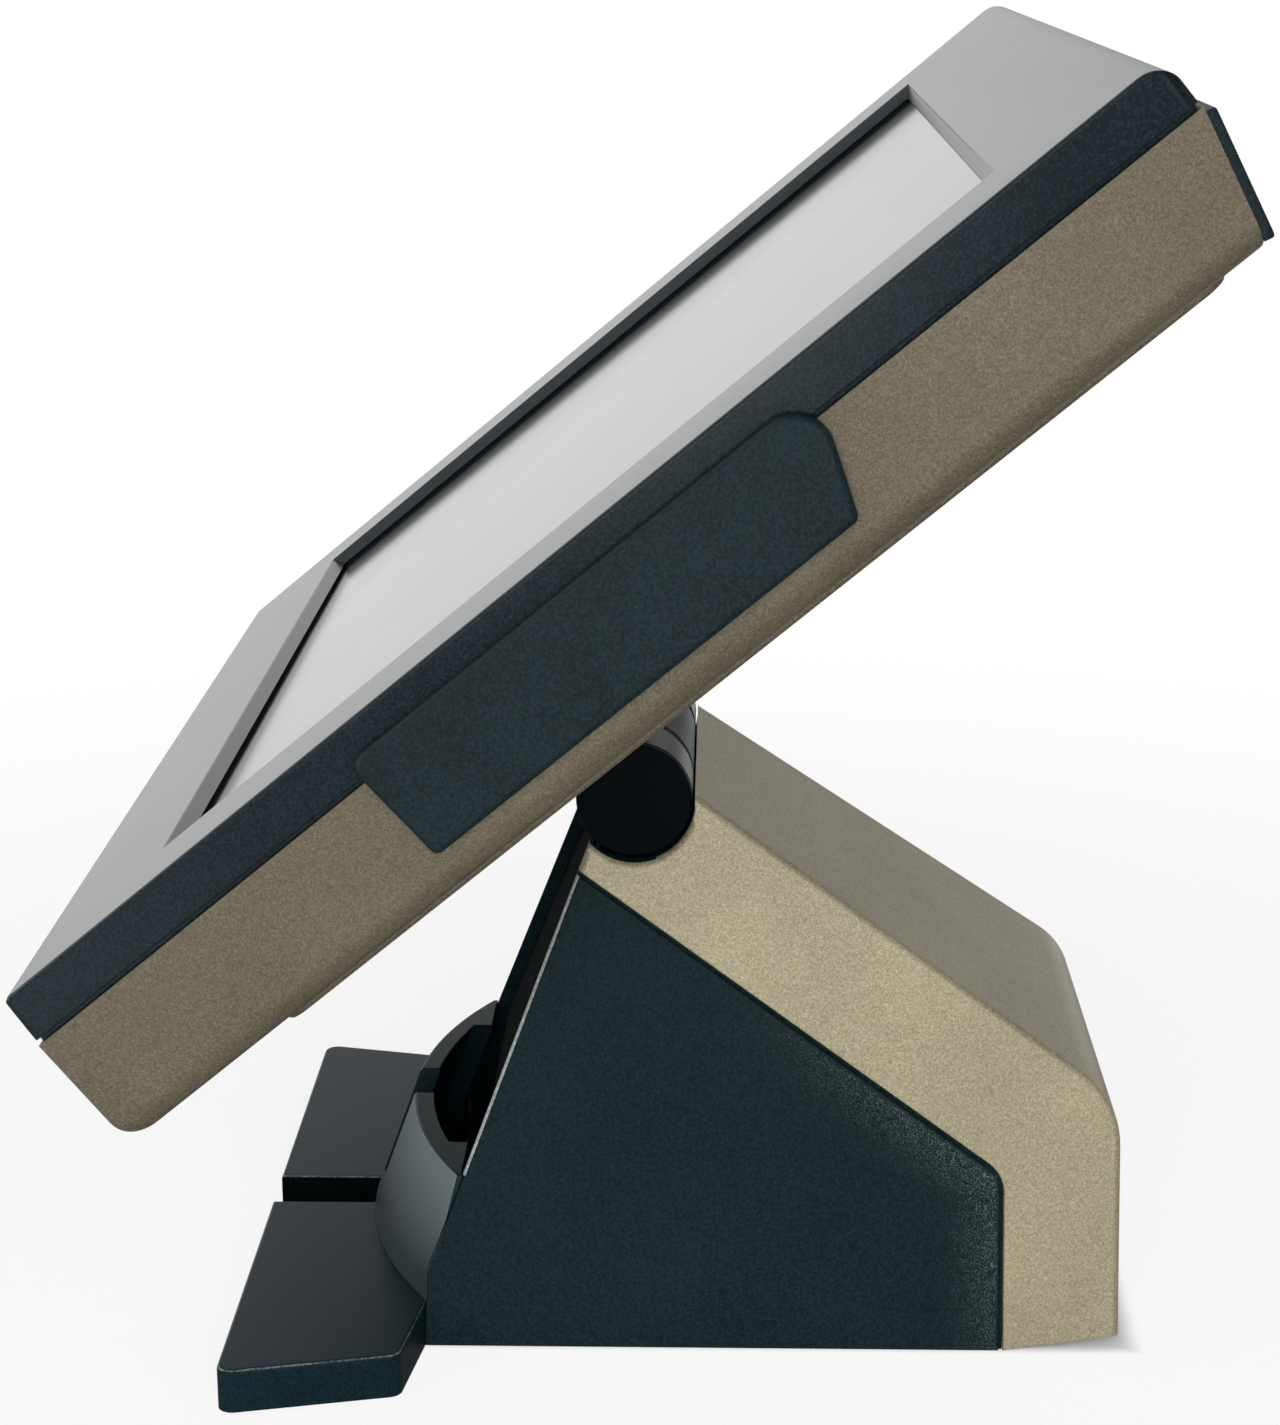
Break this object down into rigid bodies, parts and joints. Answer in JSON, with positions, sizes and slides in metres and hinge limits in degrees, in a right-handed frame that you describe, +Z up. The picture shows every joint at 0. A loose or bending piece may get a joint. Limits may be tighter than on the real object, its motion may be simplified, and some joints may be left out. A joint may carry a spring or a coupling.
{
  "type": "touchscreen sales terminal",
  "caption": "Touchscreen sales terminal: a framed display head tilts on a friction hinge above a flared wedge stand with a cable cup and a broad front foot.",
  "frame": {"origin": "on the counter, straight below the tilt hinge's axis, which is the middle of the footprint", "axes": "+X to the operator's right, +Y away from the operator, +Z up"},
  "size_m": [0.389, 0.2775, 0.3502],
  "materials": {
    "bezel_black": "fine moulded texture, satin",
    "head_bronze": "metallic bronze paint, fine grain",
    "stand_bronze": "metallic champagne bronze paint, fine grain",
    "panel_black": "leather-grain moulded texture",
    "cover_black": "satin black moulding",
    "foot_black": "satin black moulding",
    "hinge_black": "satin black moulding",
    "bracket_grey": "powder coat, dark grey",
    "seal_rubber": "matt black foam seal",
    "pad_rubber": "matt black rubber",
    "touch_glass": "clear touch panel",
    "display": "display module",
    "zinc_steel": "zinc-plated sheet",
    "screw_steel": "zinc-plated screws",
    "shaft_steel": "ground steel",
    "bush_bronze": "sintered bronze",
    "board_green": "circuit board",
    "chip_grey": "moulded chip",
    "sink_aluminium": "extruded aluminium",
    "supply_metal": "supply case",
    "port_metal": "plated connector shells",
    "port_black": "connector bodies"
  },
  "bodies": {
    "stand": {"stand_shell": "stand_bronze", "side_panel_right": "panel_black", "side_panel_left": "panel_black", "front_cover": "cover_black", "cable_cup": "foot_black", "base_foot": "foot_black", "rubber_feet": "pad_rubber", "stand_frame": "zinc_steel", "hinge_shaft": "shaft_steel", "friction_washers": "bush_bronze", "spring_washers": "shaft_steel", "shaft_nuts": "screw_steel", "hinge_sleeve_right": "hinge_black", "hinge_sleeve_left": "hinge_black", "hinge_cap_right": "hinge_black", "hinge_cap_left": "hinge_black", "power_supply": "supply_metal", "power_inlet": "port_black", "frame_screws": "screw_steel", "base_screws": "screw_steel"},
    "head": {"front_bezel": "bezel_black", "screen_gasket": "seal_rubber", "touch_glass": "touch_glass", "lcd_panel": "display", "rear_housing": "head_bronze", "rear_cover": "head_bronze", "top_cover": "cover_black", "side_cover": "cover_black", "chassis_plate": "zinc_steel", "main_board": "board_green", "processor": "chip_grey", "heat_sink": "sink_aluminium", "memory_module": "board_green", "storage_drive": "sink_aluminium", "touch_controller": "board_green", "speaker": "port_black", "io_plate": "zinc_steel", "usb_ports": "port_metal", "network_port": "port_metal", "serial_ports": "port_black", "video_port": "port_black", "power_switch": "port_black", "hinge_bracket": "bracket_grey", "hinge_bushes": "bush_bronze", "chassis_screws": "screw_steel", "board_screws": "screw_steel", "housing_screws": "screw_steel", "cover_screws": "screw_steel", "hinge_screws": "screw_steel"},
    "power_button": {"power_button": "hinge_black"}
  },
  "joints": [
    {"name": "head_tilt", "type": "hinge", "parent": "stand", "child": "head", "pos_m": [0, 0, 0.149], "axis": [1, 0, 0], "range_deg": [-25, 32]},
    {"name": "power_button_press", "type": "slide", "parent": "head", "child": "power_button", "axis": [0, 0.7716, 0.6361], "range_m": [0, 0.001], "stiffness_N_per_m": 1500}
  ]
}
